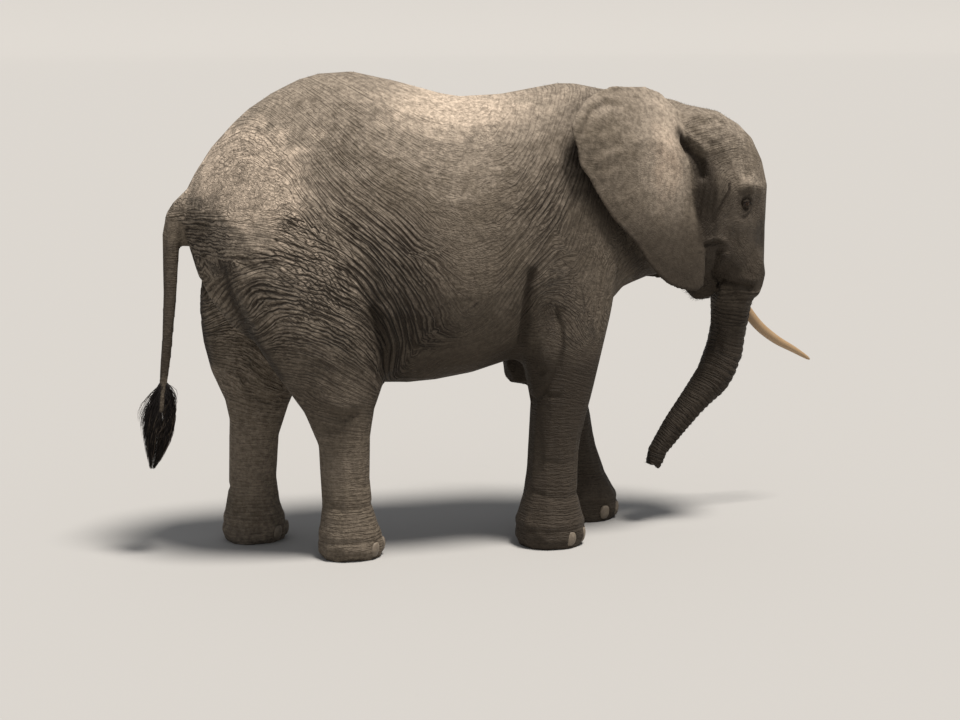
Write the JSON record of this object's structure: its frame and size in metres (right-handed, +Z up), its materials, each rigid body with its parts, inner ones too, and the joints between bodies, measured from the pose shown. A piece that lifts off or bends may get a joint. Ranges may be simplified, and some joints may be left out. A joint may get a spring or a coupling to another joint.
{
  "type": "elephant",
  "caption": "Young African elephant as a still life-size model: standing, head low, trunk curled back under the chin, ears laid back, tail hanging with a dark tuft",
  "frame": {"origin": "On the floor, under the middle of the model's box, between the feet", "axes": "+X runs from tail to head, the way the elephant faces; +Y is its left side; +Z is up"},
  "size_m": [3.3922, 0.9122, 2.1999],
  "materials": {
    "hide": "thick grey-brown skin, dry and dusty, wrinkled all over",
    "ear_skin": "thin grey-brown skin, with a paler pinkish tan patch towards its root",
    "eye": "wet and dark brown",
    "ivory": "ivory, satin, stained brown towards the root",
    "nail": "dull horn with fine upright grooves",
    "tail_hair": "stiff black hair"
  },
  "bodies": {
    "root": {"head": "hide", "lower_jaw": "hide", "trunk_root": "hide", "trunk_middle": "hide", "trunk_lower": "hide", "trunk_tip": "hide", "neck": "hide", "chest": "hide", "belly": "hide", "rump": "hide", "tail_root": "hide", "tail_tip": "hide", "front_right_upper_leg": "hide", "front_right_lower_leg": "hide", "front_right_foot": "hide", "front_left_upper_leg": "hide", "front_left_lower_leg": "hide", "front_left_foot": "hide", "hind_right_upper_leg": "hide", "hind_right_lower_leg": "hide", "hind_right_foot": "hide", "hind_left_upper_leg": "hide", "hind_left_lower_leg": "hide", "hind_left_foot": "hide", "ear_right": "ear_skin", "ear_left": "ear_skin", "eye_right": "eye", "eye_left": "eye", "tusk_left": "ivory", "front_right_nail_1": "nail", "front_right_nail_2": "nail", "front_right_nail_3": "nail", "front_right_nail_4": "nail", "front_left_nail_1": "nail", "front_left_nail_2": "nail", "front_left_nail_3": "nail", "front_left_nail_4": "nail", "hind_right_nail_1": "nail", "hind_right_nail_2": "nail", "hind_right_nail_3": "nail", "hind_left_nail_1": "nail", "hind_left_nail_2": "nail", "hind_left_nail_3": "nail", "tail_tuft": "tail_hair"}
  },
  "joints": []
}
